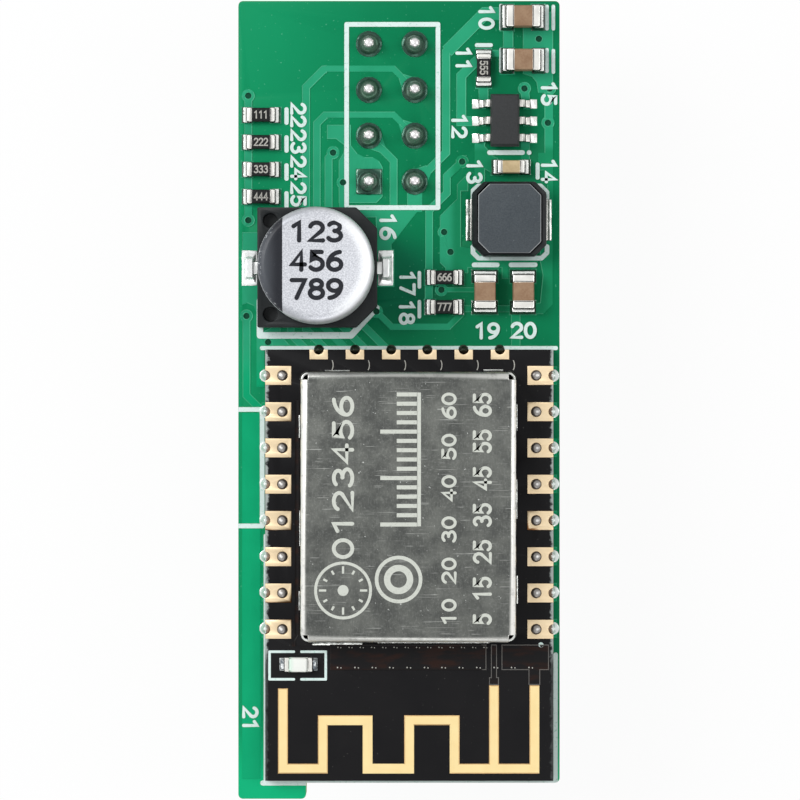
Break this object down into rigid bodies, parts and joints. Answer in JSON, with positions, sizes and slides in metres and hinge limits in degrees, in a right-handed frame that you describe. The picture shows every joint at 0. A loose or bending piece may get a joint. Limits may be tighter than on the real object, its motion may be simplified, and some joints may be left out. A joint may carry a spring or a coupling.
{
  "type": "wifi module",
  "caption": "Plug-in radio card: long carrier board with a socket below one end, supply parts and a capacitor above it, and a shielded module with a printed antenna.",
  "frame": {"origin": "centre of the socket's mating face, the lowest face of the part", "axes": "+Z from the mating face through the board to the component side, +Y along the board from the radio module towards the socket end, +X across the board towards its supply parts"},
  "size_m": [0.0178, 0.0442, 0.0155],
  "materials": {
    "carrier_laminate": "green solder mask over glass laminate",
    "coated_copper": "copper under green solder mask",
    "white_ink": "screen-printed ink",
    "black_moulding": "satin black moulding",
    "gold_plate": "gold-plated copper",
    "tin_plate": "tin plate",
    "solder": "bright solder",
    "can_aluminium": "fine satin",
    "black_ink": "printed ink",
    "moulded_case": "fine matt moulding compound",
    "ferrite": "ground ferrite",
    "magnetic_resin": "filled resin",
    "winding_wire": "enamelled copper wire",
    "brown_ceramic": "fired, satin",
    "pale_ceramic": "fired, satin",
    "resistor_glaze": "black glaze on alumina",
    "module_laminate": "black solder mask over glass laminate",
    "shield_sheet": "nickel-plated sheet, lightly rubbed",
    "lamp_resin": "pale cast resin"
  },
  "bodies": {
    "root": {"carrier_board": "carrier_laminate", "carrier_copper": "coated_copper", "carrier_print": "white_ink", "socket_housing": "black_moulding", "socket_contacts": "gold_plate", "header_solder": "solder", "capacitor_base": "black_moulding", "capacitor_can": "can_aluminium", "polarity_mark": "black_ink", "capacitor_leads": "tin_plate", "capacitor_solder": "solder", "regulator_body": "moulded_case", "regulator_leads": "tin_plate", "regulator_solder": "solder", "inductor_core": "ferrite", "inductor_winding": "winding_wire", "inductor_resin": "magnetic_resin", "inductor_terminals": "tin_plate", "inductor_solder": "solder", "chip_solder": "solder", "input_ceramic_1_body": "brown_ceramic", "input_ceramic_1_ends": "tin_plate", "input_ceramic_2_body": "brown_ceramic", "input_ceramic_2_ends": "tin_plate", "boost_ceramic_body": "pale_ceramic", "boost_ceramic_ends": "tin_plate", "output_ceramic_1_body": "brown_ceramic", "output_ceramic_1_ends": "tin_plate", "output_ceramic_2_body": "brown_ceramic", "output_ceramic_2_ends": "tin_plate", "enable_resistor_body": "resistor_glaze", "enable_resistor_ends": "tin_plate", "divider_resistor_1_body": "resistor_glaze", "divider_resistor_1_ends": "tin_plate", "divider_resistor_2_body": "resistor_glaze", "divider_resistor_2_ends": "tin_plate", "pull_up_resistor_1_body": "resistor_glaze", "pull_up_resistor_1_ends": "tin_plate", "pull_up_resistor_2_body": "resistor_glaze", "pull_up_resistor_2_ends": "tin_plate", "pull_up_resistor_3_body": "resistor_glaze", "pull_up_resistor_3_ends": "tin_plate", "pull_up_resistor_4_body": "resistor_glaze", "pull_up_resistor_4_ends": "tin_plate", "module_board": "module_laminate", "module_pads": "gold_plate", "module_tracks": "module_laminate", "module_print": "white_ink", "antenna": "gold_plate", "module_solder": "solder", "shield": "shield_sheet", "shield_solder": "solder", "radio_chip": "moulded_case", "flash_chip": "moulded_case", "crystal": "shield_sheet", "shielded_chips": "pale_ceramic", "lamp_lens": "lamp_resin", "lamp_ends": "tin_plate"}
  },
  "joints": []
}
